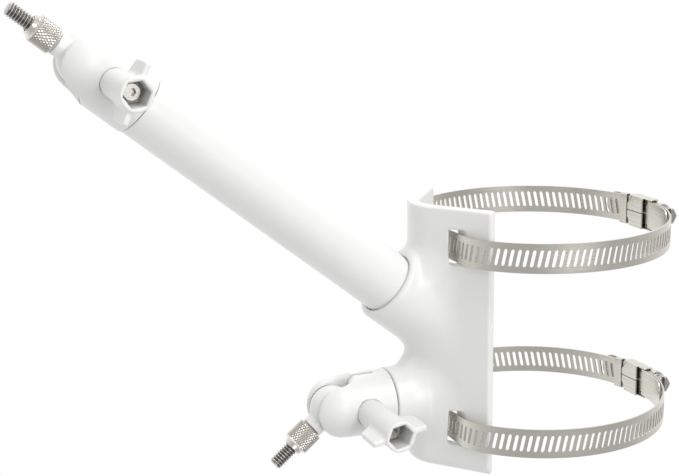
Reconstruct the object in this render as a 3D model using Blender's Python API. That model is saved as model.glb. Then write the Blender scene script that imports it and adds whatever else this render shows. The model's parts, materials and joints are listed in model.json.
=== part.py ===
"""Two-headed pole mount bracket: a cast V saddle held to a pole by two worm-drive bands, a sloping arm
and a level stub, and on each of them a split clamp head with a ball stem and a 1/4"-20 stud.

Frame: metres, +Z up along the pole, the arm and the stub reach towards -X, and XZ is the bracket's
mid-plane. The origin is on the axis of the two band loops, half way up the saddle.
"""

import math

import bmesh
import bpy
from mathutils import Matrix, Vector

MM = 0.001
GAP = 0.3                     # clearance between neighbouring solids, in mm like every size below

# Saddle: a V of two wings joined by a round spine, with the pole on its open side.
SADDLE_HEIGHT = 117.6
SPINE_X = -45.8               # centre of the spine's arcs
SPINE_RADIUS = 16.3
WALL = 5.0
WING_HALF_ANGLE = 51.3        # degrees between a wing and the mid-plane
WING_LENGTH = 28.8
FOOT_ROUNDING = 3.0           # the spine's lower outer corner is rounded off over this height
FOOT_INSET = 1.0              # and draws in by this much
STRAP_SLOT_X = (-52.3, -47.7)
STRAP_SLOT_HEIGHT = 15.6

# Arm and stub
ARM_SLOPE = 38.9              # degrees above level
ARM_MOUTH = (-73.85, 24.55)   # x, z of the centre of the upper boss's mouth
ARM_LENGTH = 136.7            # from the boss's mouth to the upper head
TUBE_RADIUS = 13.35
TUBE_WALL = 2.0
SOCKET_DEPTH = 7.3
BOSS_RADIUS = 16.6
BOSS_RIM = 2.0
STUB_MOUTH = (-74.05, -28.75)
STUB_RADIUS = 14.2
BASE_SCREW_RADIUS = 3.0       # M6
BASE_SCREW_HEAD = (5.0, 6.0)  # radius, height
PLUG_DEPTH = 14.0

# Clamp heads. Stations run from the seam along the head's own axis.
HEAD_RADIUS = 13.9
HEAD_BOLT_STATION = {"upper": 16.2, "lower": 13.4}
BOLT_TO_BALL = 12.4
BALL_TO_ROOT = 7.3            # from the ball's centre back to the end of the jaws' slot
BALL_TO_TIP = 11.3
HEAD_BASE = 5.0
SEAM_GAP = 0.4
JAW_SLOT = 10.6
JAW_CHAMFER = 2.2
SAW_SLIT = 2.4
BALL_RADIUS = 9.7
NECK_RADIUS = 4.8
NECK_END = 12.4
STUD_RADIUS = 3.15            # 1/4"-20
STUD_END = 35.0
LOCK_NUT = (12.7, 22.7, 5.85)     # start, end, radius, along the stem from the ball's centre
LOCK_COLLAR = (24.6, 4.3)         # end, radius
STEM_TILT = {"upper": 0.0, "lower": -38.9}

# Wing knob and clamp bolt, along the knob's axis from the head's axis
KNOB_SEAT = 12.6
KNOB_END = 45.3
KNOB_RADIUS = (6.0, 6.7)          # at the seat and at the rim
KNOB_HEX = 10.0                   # across flats
KNOB_HEX_FLOOR = 33.0
WING_SPAN = 12.4
WING_THICKNESS = 2.4
WING_ANGLE = {"upper": 14.9, "lower": -80.0}
BOLT_RADIUS = 2.0                 # M4
BOLT_HEAD = (3.5, 4.0)
NUT_HEX = 7.0
NUT_HEIGHT = 3.2
NUT_FLOOR = 8.6

# Swivel screw: M5 with a low head, inside the head's base
SWIVEL_RADIUS = 2.5
SWIVEL_HEAD = (4.2, 3.6)
SWIVEL_DEPTH = 9.0
SWIVEL_WASHER = 0.8

# Worm-drive bands
BAND_WIDTH = 12.7
BAND_THICKNESS = 0.7
BAND_HEIGHT = {"upper": 42.0, "lower": -39.0}
BAND_CHORD_X = -49.6              # the band runs straight here, inside the V and through its slots
BAND_INNER_LAYER = 57.5           # mid radius under the worm housing
BAND_OUTER_LAYER = 58.5           # mid radius of the free end where it enters the housing
CLAMP_ANGLE = 3.0                 # degrees from +X round to the worm housings
TONGUE_ANGLE = 30.0
TAIL_ANGLE = 24.0
HOUSING_LENGTH = 15.0
HOUSING_HALF_WIDTH = 7.4
WORM_AXIS = 63.4                  # radius of the worm's axis
WORM_RADIUS = 3.4
WORM_HEX = 7.0

WHITE = ("white_powder_coat", (0.83, 0.83, 0.81, 1.0), 0.35, 0.0)
STEEL = ("zinc_plated_steel", (0.55, 0.54, 0.52, 1.0), 0.35, 1.0)
NICKEL = ("nickel_plate", (0.68, 0.65, 0.60, 1.0), 0.25, 1.0)
STAINLESS = ("stainless_strip", (0.60, 0.58, 0.55, 1.0), 0.30, 1.0)
NYLON = ("nylon", (0.75, 0.74, 0.70, 1.0), 0.5, 0.0)


# ---------------------------------------------------------------- mesh helpers

def clear_scene():
    """Remove every object that the scene starts with."""
    for obj in list(bpy.data.objects):
        bpy.data.objects.remove(obj)


def material(spec):
    """The Principled material for a (name, colour, roughness, metallic) tuple."""
    name, colour, roughness, metallic = spec
    found = bpy.data.materials.get(name)
    if found:
        return found
    made = bpy.data.materials.new(name)
    made.use_nodes = True
    shader = made.node_tree.nodes["Principled BSDF"]
    shader.inputs["Base Color"].default_value = colour
    shader.inputs["Roughness"].default_value = roughness
    shader.inputs["Metallic"].default_value = metallic
    return made


def finish_mesh(name, work):
    """Turn a bmesh into a linked object, in mm until it becomes a piece, with its faces pointing out."""
    bmesh.ops.remove_doubles(work, verts=work.verts, dist=1e-4)
    bmesh.ops.recalc_face_normals(work, faces=work.faces)
    mesh = bpy.data.meshes.new(name)
    work.to_mesh(mesh)
    work.free()
    obj = bpy.data.objects.new(name, mesh)
    bpy.context.scene.collection.objects.link(obj)
    return obj


def lathe(name, profile, segments=32, closed=False):
    """Turn a profile of (radius, height) points about Z.

    An open profile starts and ends on the axis. A closed one is a ring and stays off the axis.
    """
    work = bmesh.new()
    rings = []
    for radius, height in profile:
        if radius < 1e-6:
            rings.append([work.verts.new((0.0, 0.0, height))])
            continue
        turn = 2.0 * math.pi / segments
        rings.append([work.verts.new((radius * math.cos(turn * i), radius * math.sin(turn * i), height))
                      for i in range(segments)])
    pairs = list(zip(rings, rings[1:]))
    if closed:
        pairs.append((rings[-1], rings[0]))
    for lower, upper in pairs:
        for i in range(segments):
            j = (i + 1) % segments
            corners = [lower[i % len(lower)], lower[j % len(lower)],
                       upper[j % len(upper)], upper[i % len(upper)]]
            distinct = list(dict.fromkeys(corners))
            if len(distinct) > 2:
                work.faces.new(distinct)
    return finish_mesh(name, work)


def rod(name, radius, low, high, segments=24):
    """A plain cylinder along Z."""
    return lathe(name, [(0, low), (radius, low), (radius, high), (0, high)], segments)


def tube(name, outer, inner, low, high, segments=32):
    """A pipe along Z."""
    return lathe(name, [(outer, low), (outer, high), (inner, high), (inner, low)], segments, closed=True)


def prism(name, outline, low, high):
    """A polygon in XY, extruded along Z from low to high."""
    work = bmesh.new()
    face = work.faces.new([work.verts.new((x, y, low)) for x, y in outline])
    raised = bmesh.ops.extrude_face_region(work, geom=[face])["geom"]
    bmesh.ops.translate(work, vec=(0, 0, high - low),
                        verts=[item for item in raised if isinstance(item, bmesh.types.BMVert)])
    return finish_mesh(name, work)


def block(name, low, high):
    """A box between two corners."""
    corners = [(low[0], low[1]), (high[0], low[1]), (high[0], high[1]), (low[0], high[1])]
    return prism(name, corners, low[2], high[2])


def hexagon(across_flats, angle=0.0):
    """The corners of a hexagon in XY, with a corner at the given angle in degrees."""
    reach = across_flats / math.sqrt(3.0)
    return [(reach * math.cos(math.radians(angle + 60 * i)), reach * math.sin(math.radians(angle + 60 * i)))
            for i in range(6)]


def hull(name, points):
    """The convex hull of a cloud of points."""
    work = bmesh.new()
    for point in points:
        work.verts.new(point)
    result = bmesh.ops.convex_hull(work, input=work.verts)
    loose = [item for item in result["geom_interior"] if isinstance(item, bmesh.types.BMVert)]
    bmesh.ops.delete(work, geom=loose, context="VERTS")
    return finish_mesh(name, work)


def move(obj, matrix):
    """Apply a transform to an object's mesh."""
    obj.data.transform(matrix)
    return obj


def combine(target, tool, operation):
    """Apply one Boolean to the target's mesh and remove the tool."""
    modifier = target.modifiers.new("cut", "BOOLEAN")
    modifier.object = tool
    modifier.operation = operation
    modifier.solver = "MANIFOLD"
    evaluated = target.evaluated_get(bpy.context.evaluated_depsgraph_get())
    mesh = bpy.data.meshes.new_from_object(evaluated)
    mesh.name = target.name
    target.modifiers.clear()
    target.data = mesh
    bpy.data.objects.remove(tool)
    return target


def cut(target, *tools):
    """Take the tools away from the target."""
    for tool in tools:
        combine(target, tool, "DIFFERENCE")
    return target


def add(target, *tools):
    """Join the tools to the target."""
    for tool in tools:
        combine(target, tool, "UNION")
    return target


def frame(name, parent=None, location=(0, 0, 0), rotation=(0, 0, 0)):
    """An empty that carries pieces: its location in mm, its rotation in degrees."""
    empty = bpy.data.objects.new(name, None)
    bpy.context.scene.collection.objects.link(empty)
    empty.parent = parent
    empty.location = Vector(location) * MM
    empty.rotation_euler = [math.radians(angle) for angle in rotation]
    return empty


def piece(obj, name, parent, spec, sharp=35.0):
    """Scale a finished solid to metres, name it, hang it on its frame, shade it and give it its material."""
    obj.data.transform(Matrix.Scale(MM, 4))
    obj.name = name
    obj.data.name = name
    obj.parent = parent
    obj.data.materials.clear()
    obj.data.materials.append(material(spec))
    obj.data.shade_smooth()
    obj.data.set_sharp_from_angle(angle=math.radians(sharp))
    return obj


# ---------------------------------------------------------------- saddle

def saddle_outline(radius, inset=0.0):
    """Half plan of the V on the -Y side, from the spine to the wing's end: an arc, then a straight wing.

    The inset draws the spine in, fading to nothing at the wing's end.
    """
    half = math.radians(WING_HALF_ANGLE)
    steps = 8
    points = []
    for i in range(steps + 1):
        angle = math.pi + (math.pi / 2 - half) * i / steps
        reach = radius - inset
        points.append((SPINE_X + reach * math.cos(angle), reach * math.sin(angle)))
    x, y = radius * math.cos(angle), radius * math.sin(angle)
    points.append((SPINE_X + x + WING_LENGTH * math.cos(half), y - WING_LENGTH * math.sin(half)))
    return points


def mirrored(points):
    """A half outline on the -Y side preceded by its mirror image, as one open outline."""
    other = [(x, -y) for x, y in reversed(points) if abs(y) > 1e-6]
    return other + points


def saddle_plate():
    """The V plate, from its foot, where the spine's outside is rounded off, to its top."""
    half = SADDLE_HEIGHT / 2
    levels = [(half, 0.0)]
    steps = 5
    for i in range(steps + 1):
        angle = math.radians(90.0 * i / steps)
        levels.append((FOOT_ROUNDING * (1 - math.sin(angle)) - half, FOOT_INSET * (1 - math.cos(angle))))
    inner = list(reversed(mirrored(saddle_outline(SPINE_RADIUS - WALL))))
    work = bmesh.new()
    rows = [[work.verts.new((x, y, z)) for x, y in mirrored(saddle_outline(SPINE_RADIUS, inset)) + inner]
            for z, inset in levels]
    for above, below in zip(rows, rows[1:]):
        for i in range(len(above)):
            j = (i + 1) % len(above)
            work.faces.new((above[i], above[j], below[j], below[i]))
    work.faces.new(rows[0])
    work.faces.new(list(reversed(rows[-1])))
    return finish_mesh("plate", work)


def pole_space():
    """The space inside the V, where the pole and the bands' chords lie."""
    inner = mirrored(saddle_outline(SPINE_RADIUS - WALL))
    tip = inner[-1]
    closing = [(tip[0] + WALL, tip[1] - WALL), (tip[0] + 4 * WALL, tip[1] - WALL)]
    outline = inner + closing + [(x, -y) for x, y in reversed(closing)]
    return prism("pole_space", outline, -SADDLE_HEIGHT, SADDLE_HEIGHT)


def arm_matrix():
    """From the arm's frame (Z along the arm, X upwards) to the bracket's frame."""
    return (Matrix.Translation((ARM_MOUTH[0], 0, ARM_MOUTH[1]))
            @ Matrix.Rotation(math.radians(ARM_SLOPE - 90), 4, "Y"))


def stub_matrix():
    """From the stub's frame (Z along the stub, X upwards) to the bracket's frame."""
    return Matrix.Translation((STUB_MOUTH[0], 0, STUB_MOUTH[1])) @ Matrix.Rotation(math.radians(-90), 4, "Y")


def boss_flare(matrix, radius, start, footprint):
    """A solid that spreads a round boss out onto the wings: the hull of a circle and of its footprint."""
    ring = [matrix @ Vector((radius * math.cos(math.pi * i / 12), radius * math.sin(math.pi * i / 12), start))
            for i in range(24)]
    return hull("flare", ring + [Vector(point) for point in footprint])


def make_saddle(root):
    """The cast saddle: V plate, sloping boss with the tube's socket, level boss, strap slots."""
    body = saddle_plate()
    arm, stub = arm_matrix(), stub_matrix()
    boss = lathe("boss", [(0, -40), (BOSS_RADIUS, -40), (BOSS_RADIUS, -BOSS_RIM),
                          (BOSS_RADIUS - BOSS_RIM * 0.3, -BOSS_RIM * 0.3), (BOSS_RADIUS - BOSS_RIM, 0), (0, 0)], 40)
    level = lathe("level", [(0, -14), (STUB_RADIUS, -14), (STUB_RADIUS, 0), (0, 0)], 40)
    wing = [(-52.8, 17.3, z) for z in (34.3, 2.0)] + [(-52.8, -17.3, z) for z in (34.3, 2.0)]
    spine = [(-60.0, 6.0, z) for z in (39.5, -6.0)] + [(-60.0, -6.0, z) for z in (39.5, -6.0)]
    low_wing = [(-52.9, side * 17.2, z) for side in (1, -1) for z in (-22.0, -35.5)]
    low_spine = [(-57.5, side * 11.2, z) for side in (1, -1) for z in (-14.0, -43.5)]
    crotch = ((-56, -7), (-62.3, -8.5), (-63.5, -10), (-69, -13.3), (-56, -18))
    web = hull("web", [(x, y, z) for y in (-4.0, 4.0) for x, z in crotch])
    add(body, move(boss, arm), boss_flare(arm, BOSS_RADIUS - 0.2, -BOSS_RIM - 1, wing + spine),
        move(level, stub), boss_flare(stub, STUB_RADIUS - 0.2, -5, low_wing + low_spine), web)
    cut(body, pole_space())
    for height in BAND_HEIGHT.values():
        low = height - STRAP_SLOT_HEIGHT / 2
        cut(body, block("slot", (STRAP_SLOT_X[0], -60, low), (STRAP_SLOT_X[1], 60, low + STRAP_SLOT_HEIGHT)))
    cut(body, move(rod("socket", TUBE_RADIUS + GAP, -SOCKET_DEPTH, 10, 40), arm),
        move(rod("screw", BASE_SCREW_RADIUS + GAP, -60, 0, 20), arm),
        move(rod("counterbore", BASE_SCREW_HEAD[0] + 0.5, -60, -SOCKET_DEPTH - 8, 24), arm),
        move(rod("tap", SWIVEL_RADIUS + GAP, -SWIVEL_DEPTH - 1, 5, 20), stub))
    return piece(body, "saddle_bracket", root, WHITE)


# ---------------------------------------------------------------- arm

def make_arm(arm):
    """The tube, its two plugs, and the screw that holds it in the boss from inside the V."""
    low = GAP - SOCKET_DEPTH
    bore = TUBE_RADIUS - TUBE_WALL
    piece(tube("tube", TUBE_RADIUS, bore, low, ARM_LENGTH, 40), "arm_tube", arm, WHITE)
    base = tube("plug", bore - GAP, BASE_SCREW_RADIUS + GAP, low, low + PLUG_DEPTH, 32)
    piece(base, "arm_base_plug", arm, STEEL)
    top = tube("plug", bore - GAP, SWIVEL_RADIUS + GAP, ARM_LENGTH - PLUG_DEPTH, ARM_LENGTH, 32)
    piece(top, "arm_top_plug", arm, STEEL)
    seat = -SOCKET_DEPTH - 8
    washer = tube("washer", BASE_SCREW_HEAD[0], BASE_SCREW_RADIUS + GAP, seat - GAP - 1, seat - GAP, 24)
    piece(washer, "arm_base_washer", arm, STEEL)
    under = seat - 2 * GAP - 1
    head, height = BASE_SCREW_HEAD
    screw = lathe("screw", [(0, under - height), (head, under - height), (head, under), (BASE_SCREW_RADIUS, under),
                            (BASE_SCREW_RADIUS, low + PLUG_DEPTH - 1), (0, low + PLUG_DEPTH - 1)], 20)
    cut(screw, prism("key", hexagon(5.0), under - height - 1, under - height + 3))
    piece(screw, "arm_base_screw", arm, STEEL)


# ---------------------------------------------------------------- clamp heads

def sphere_profile(radius, centre, steps=10):
    """Profile points of a full sphere about a centre on the axis, from bottom to top."""
    return [(radius * math.sin(math.pi * i / steps), centre - radius * math.cos(math.pi * i / steps))
            for i in range(steps + 1)]


def head_blank(tip):
    """The head's outside: a cylinder with a chamfered base and a round end."""
    dome = tip - HEAD_RADIUS
    profile = [(0, SEAM_GAP), (HEAD_RADIUS - 0.5, SEAM_GAP), (HEAD_RADIUS, SEAM_GAP + 0.5)]
    steps = 8
    for i in range(steps + 1):
        angle = math.radians(90.0 * i / steps)
        profile.append((HEAD_RADIUS * math.cos(angle) if i < steps else 0, dome + HEAD_RADIUS * math.sin(angle)))
    return lathe("head", profile, 40)


def jaw_slot(root, tip):
    """The stem's slot: parallel walls from a half-round root out through the tip, open above and below."""
    half = JAW_SLOT / 2
    centre = root + half
    outline = [(tip + 5, -half), (tip + 5, half)]
    steps = 10
    for i in range(steps + 1):
        angle = math.radians(90 + 180.0 * i / steps)
        outline.append((centre + half * math.cos(angle), half * math.sin(angle)))
    slot = prism("slot", outline, -HEAD_RADIUS - 2, HEAD_RADIUS + 2)
    return move(slot, Matrix.Rotation(math.radians(-90), 4, "Y"))


def jaw_chamfer(dome, root):
    """A cutter that takes the sharp edge off both jaws: a wedge swept up one side, round the dome and down."""
    half = JAW_SLOT / 2
    reach = math.sqrt(HEAD_RADIUS ** 2 - half ** 2) - JAW_CHAMFER
    section = [(-1.0, 1.0 - half), (4.0, -half - 4.0), (4.0, half + 4.0), (-1.0, half - 1.0)]
    steps = 16
    path = [(root + half, 0.0)] + [(dome, math.pi * i / steps) for i in range(steps + 1)] + [(root + half, math.pi)]
    work = bmesh.new()
    rows = [[work.verts.new(((reach + out) * math.cos(angle), y, station + (reach + out) * math.sin(angle)))
             for out, y in section] for station, angle in path]
    for before, after in zip(rows, rows[1:]):
        for k in range(4):
            m = (k + 1) % 4
            work.faces.new((before[k], before[m], after[m], after[k]))
    work.faces.new(rows[0])
    work.faces.new(list(reversed(rows[-1])))
    return finish_mesh("chamfer", work)


def root_cone(centre, side):
    """A cutter for the same edge round the slot's half-round root, on the +X or -X side of the head."""
    half = JAW_SLOT / 2
    start = HEAD_RADIUS - JAW_CHAMFER
    cone = lathe("cone", [(0, start - 1), (half - 1, start - 1), (half + 5, start + 5), (0, start + 5)], 36)
    return move(cone, Matrix.Translation((0, 0, centre)) @ Matrix.Rotation(math.radians(90 * side), 4, "Y"))


def make_head(which, seat):
    """One split clamp head, with its seat frame on the seam."""
    bolt = HEAD_BOLT_STATION[which]
    ball = bolt + BOLT_TO_BALL
    tip = ball + BALL_TO_TIP
    root = ball - BALL_TO_ROOT
    body = head_blank(tip)
    across = Matrix.Translation((0, 0, bolt)) @ Matrix.Rotation(math.radians(90), 4, "X")
    cut(body, jaw_slot(root, tip), jaw_chamfer(tip - HEAD_RADIUS, root),
        root_cone(root + JAW_SLOT / 2, 1), root_cone(root + JAW_SLOT / 2, -1),
        lathe("pocket", sphere_profile(BALL_RADIUS + GAP, ball, 12), 24),
        rod("counterbore", SWIVEL_HEAD[0] + 0.5, HEAD_BASE + SEAM_GAP, ball, 24),
        rod("swivel", SWIVEL_RADIUS + GAP, -1, HEAD_BASE + 1, 20),
        block("slit", (-20, -SAW_SLIT / 2, HEAD_BASE + SEAM_GAP + 1.5), (20, SAW_SLIT / 2, root + 3)),
        move(rod("bolt", BOLT_RADIUS + GAP, -20, 20, 20), across),
        move(rod("spot", KNOB_RADIUS[0] + 0.6, KNOB_SEAT - GAP, 20, 32), across),
        move(prism("nut", hexagon(NUT_HEX + 2 * GAP, 30), -20, -NUT_FLOOR), across))
    return piece(body, which + "_head_housing", seat, WHITE)


def make_stem(which, seat, ball):
    """Ball, neck and stud, on a frame at the ball's centre, and the lock nut on the stud."""
    pivot = frame(which + "_stem_pivot", seat, (0, 0, ball), (0, STEM_TILT[which], 0))
    neck_foot = math.sqrt(BALL_RADIUS ** 2 - NECK_RADIUS ** 2)
    profile = [point for point in sphere_profile(BALL_RADIUS, 0, 12) if point[1] < neck_foot - 0.5]
    profile += [(NECK_RADIUS, neck_foot), (NECK_RADIUS, NECK_END - 0.6), (NECK_RADIUS - 0.6, NECK_END), (0, NECK_END)]
    stem = lathe("stem", profile, 24)
    cut(stem, rod("tapping", STUD_RADIUS + GAP, 2.0, 20, 20))
    piece(stem, which + "_ball_stem", pivot, WHITE)
    stud = lathe("stud", [(0, 2.3), (STUD_RADIUS, 2.3), (STUD_RADIUS, STUD_END - 1.0),
                          (STUD_RADIUS - 1.0, STUD_END), (0, STUD_END)], 20)
    piece(stud, which + "_stud", pivot, STEEL)
    start, end, radius = LOCK_NUT
    collar_end, collar = LOCK_COLLAR
    bore = STUD_RADIUS + GAP
    nut = lathe("nut", [(bore, start), (radius - 0.5, start), (radius, start + 0.5), (radius, end - 0.5),
                        (radius - 0.5, end), (collar, end), (collar, collar_end), (bore, collar_end)], 28, closed=True)
    piece(nut, which + "_lock_nut", pivot, NICKEL)


def wing_outline():
    """Half of the wings' side view as (radial, axial) points: sloped at the seat side, square at the rim."""
    return [(0.0, 24.0), (6.0, 25.5), (WING_SPAN, 31.0), (WING_SPAN, 43.4), (WING_SPAN - 0.8, 44.2), (0.0, 44.6)]


def make_knob(which, seat, station):
    """The wing knob with its bolt, and the captive nut in the far jaw."""
    turn = frame(which + "_knob_axis", seat, (0, 0, station), (90, 0, 0))
    low, high = KNOB_RADIUS
    knob = lathe("knob", [(0, KNOB_SEAT), (low - 0.5, KNOB_SEAT), (low, KNOB_SEAT + 0.5), (high, KNOB_END - 0.8),
                          (high - 0.8, KNOB_END), (0, KNOB_END)], 32)
    half = wing_outline()
    outline = half + [(-x, z) for x, z in reversed(half) if x > 0]
    wings = prism("wings", outline, -WING_THICKNESS / 2, WING_THICKNESS / 2)
    wings = move(wings, Matrix.Rotation(math.radians(WING_ANGLE[which]), 4, "Z")
                 @ Matrix.Rotation(math.radians(90), 4, "X"))
    add(knob, wings)
    cut(knob, prism("recess", hexagon(KNOB_HEX, WING_ANGLE[which]), KNOB_HEX_FLOOR, KNOB_END + 2),
        rod("bore", BOLT_RADIUS + GAP, 0, KNOB_END, 20))
    piece(knob, which + "_wing_knob", turn, WHITE)
    head, height = BOLT_HEAD
    under = KNOB_HEX_FLOOR + GAP
    bolt = lathe("bolt", [(0, -13.0), (BOLT_RADIUS, -13.0), (BOLT_RADIUS, under), (head, under),
                          (head, under + height - 0.3), (head - 0.3, under + height), (0, under + height)], 20)
    cut(bolt, prism("key", hexagon(3.0), under + height - 2.2, under + height + 1))
    piece(bolt, which + "_clamp_bolt", turn, STEEL)
    across = frame(which + "_nut_seat", seat, (0, 0, station), (90, 0, 0))
    nut = prism("nut", hexagon(NUT_HEX, 30), -NUT_FLOOR - GAP - NUT_HEIGHT, -NUT_FLOOR - GAP)
    cut(nut, rod("thread", BOLT_RADIUS + GAP, -20, 0, 20))
    piece(nut, which + "_captive_nut", across, STEEL)


def make_swivel(which, seat):
    """The screw inside the head's base that the head turns on, and its friction washer."""
    floor = HEAD_BASE + SEAM_GAP
    head, height = SWIVEL_HEAD
    washer = tube("washer", head, SWIVEL_RADIUS + GAP, floor + GAP, floor + GAP + SWIVEL_WASHER, 24)
    piece(washer, which + "_swivel_washer", seat, NYLON)
    under = floor + 2 * GAP + SWIVEL_WASHER
    screw = lathe("screw", [(0, -SWIVEL_DEPTH), (SWIVEL_RADIUS, -SWIVEL_DEPTH), (SWIVEL_RADIUS, under), (head, under),
                            (head, under + height), (0, under + height)], 20)
    cut(screw, prism("key", hexagon(3.0), under + height - 2, under + height + 1))
    piece(screw, which + "_swivel_screw", seat, STEEL)


# ---------------------------------------------------------------- worm-drive bands

def band_radius(angle):
    """Mid radius of the band at an angle in degrees from the worm housing.

    It starts as a tongue under the housing, widens slowly to lie on top of its own start after one turn,
    and lifts away past the housing. Near the saddle it blends into the straight chord through the slots.
    """
    if angle < 40:
        radius = BAND_INNER_LAYER
    elif angle < 330:
        radius = BAND_INNER_LAYER + (BAND_OUTER_LAYER - BAND_INNER_LAYER) * (angle - 40) / 290
    else:
        radius = BAND_OUTER_LAYER + 0.1 * max(0.0, angle - 358)
    facing = math.cos(math.radians(angle + CLAMP_ANGLE))
    if facing > -0.3:
        return radius
    chord = BAND_CHORD_X / facing
    power = 40
    return (radius ** -power + chord ** -power) ** (-1.0 / power)


def make_band(which, turn):
    """One closed strip of band, from the tongue round to the free end, on a frame at the loop's centre."""
    step = 3.0
    count = round((360 + TONGUE_ANGLE + TAIL_ANGLE) / step)
    path = []
    for i in range(count + 1):
        angle = -TONGUE_ANGLE + step * i
        radius = band_radius(angle)
        path.append(Vector((radius * math.cos(math.radians(angle)), radius * math.sin(math.radians(angle)), 0)))
    half_width, half_thick = BAND_WIDTH / 2, BAND_THICKNESS / 2
    work = bmesh.new()
    rows = []
    for i, point in enumerate(path):
        along = (path[min(i + 1, count)] - path[max(i - 1, 0)]).normalized()
        out = Vector((along.y, -along.x, 0))
        rows.append([work.verts.new(point + out * (side * half_thick) + Vector((0, 0, up * half_width)))
                     for side, up in ((-1, -1), (1, -1), (1, 1), (-1, 1))])
    work.faces.new(rows[0])
    work.faces.new(list(reversed(rows[-1])))
    for before, after in zip(rows, rows[1:]):
        for k in range(4):
            work.faces.new((before[k], before[(k + 1) % 4], after[(k + 1) % 4], after[k]))
    piece(finish_mesh("band", work), which + "_band", turn, STAINLESS, 20.0)


def make_strap(which, turn):
    """The folded strap round the band beside the housing: a flat sleeve bent to the loop."""
    inner = BAND_INNER_LAYER - BAND_THICKNESS / 2 - GAP
    outer = BAND_INNER_LAYER + BAND_THICKNESS / 2 + GAP
    wall = 0.5
    edge = BAND_WIDTH / 2 + GAP
    outside = [(inner - wall, -edge - wall), (outer + wall, -edge - wall), (outer + wall, edge + wall),
               (inner - wall, edge + wall)]
    inside = [(inner, -edge), (outer, -edge), (outer, edge), (inner, edge)]
    work = bmesh.new()
    steps = 4
    rows = []
    for i in range(steps + 1):
        angle = math.radians(9.0 + 11.0 * i / steps)
        rows.append([[work.verts.new((r * math.cos(angle), r * math.sin(angle), z)) for r, z in loop]
                     for loop in (outside, inside)])
    for before, after in zip(rows, rows[1:]):
        for loop in (0, 1):
            for k in range(4):
                m = (k + 1) % 4
                work.faces.new((before[loop][k], before[loop][m], after[loop][m], after[loop][k]))
    for end in (rows[0], rows[-1]):
        for k in range(4):
            m = (k + 1) % 4
            work.faces.new((end[0][k], end[0][m], end[1][m], end[1][k]))
    piece(finish_mesh("strap", work), which + "_band_strap", turn, STAINLESS)


def make_worm(which, turn):
    """The stamped housing and its worm screw. In their frame X is radial and Y runs along the loop."""
    half = HOUSING_LENGTH / 2
    arch = WORM_RADIUS + 1.5
    outline = [(55.5, -HOUSING_HALF_WIDTH), (60.9, -HOUSING_HALF_WIDTH), (61.8, -arch)]
    for i in range(9):
        angle = math.radians(-90 + 22.5 * i)
        outline.append((WORM_AXIS + arch * math.cos(angle), arch * math.sin(angle)))
    outline += [(61.8, arch), (60.9, HOUSING_HALF_WIDTH), (55.5, HOUSING_HALF_WIDTH)]
    stand = Matrix.Rotation(math.radians(90), 4, "X")
    housing = move(prism("housing", outline, -half, half), stand)
    bore = Matrix.Translation((WORM_AXIS, 0, 0)) @ stand
    slot_edge = BAND_WIDTH / 2 + GAP
    cut(housing, block("slot", (56.35, -20, -slot_edge), (59.9, 20, slot_edge)),
        block("window", (59.0, -half + 1.2, -WORM_RADIUS + 0.4), (62.0, half - 1.2, WORM_RADIUS - 0.4)),
        move(rod("bore", WORM_RADIUS + GAP, -half + 1.2, half - 1.2, 24), bore),
        move(rod("neck", 2.4 + GAP, 0, 20, 20), bore))
    piece(housing, which + "_worm_housing", turn, STAINLESS)
    axis = frame(which + "_worm_axis", turn, (WORM_AXIS, 0, 0), (90, 0, 0))
    low, high = -half + 1.2 + GAP, half - 1.2 - GAP
    worm = lathe("worm", [(0, low), (WORM_RADIUS, low), (WORM_RADIUS, high), (2.4, high), (2.4, half + GAP),
                          (4.1, half + GAP), (4.1, half + 1.2), (0, half + 1.2)], 24)
    add(worm, prism("hex", hexagon(WORM_HEX), half + 1.0, half + 5.6))
    cut(worm, block("drive", (-0.7, -6, half + 3.8), (0.7, 6, half + 8)))
    piece(worm, which + "_worm_screw", axis, STAINLESS)


def main():
    """Build every piece of the bracket."""
    clear_scene()
    root = frame("bracket")
    make_saddle(root)
    arm = frame("arm", root, (ARM_MOUTH[0], 0, ARM_MOUTH[1]), (0, ARM_SLOPE - 90, 0))
    make_arm(arm)
    seats = {
        "upper": frame("upper_head_seat", arm, (0, 0, ARM_LENGTH)),
        "lower": frame("lower_head_seat", root, (STUB_MOUTH[0], 0, STUB_MOUTH[1]), (0, -90, 0)),
    }
    for which, seat in seats.items():
        station = HEAD_BOLT_STATION[which]
        make_head(which, seat)
        make_stem(which, seat, station + BOLT_TO_BALL)
        make_knob(which, seat, station)
        make_swivel(which, seat)
        turn = frame(which + "_loop", root, (0, 0, BAND_HEIGHT[which]), (0, 0, CLAMP_ANGLE))
        make_band(which, turn)
        make_strap(which, turn)
        make_worm(which, turn)


main()
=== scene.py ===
"""Looks of a two-headed pole bracket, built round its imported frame.

Lengths are millimetres, as on a maker's drawing, and become metres when a mesh is made. The pole and the
worm-drive bands stand along Z, the arm and the stub reach towards -X, and Y runs across the bracket.
Castings and small machined pieces are distance fields: a field gives each point its distance to the
surface, negative inside, and a grid of its values becomes a mesh. Turned and rolled pieces are grids of
points worked out directly.
"""

from __future__ import annotations

import json
import logging
import math
from collections.abc import Callable
from dataclasses import dataclass, field
from enum import Enum

import bmesh
import bpy
import numpy as np
from mathutils import Matrix, Vector

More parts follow.
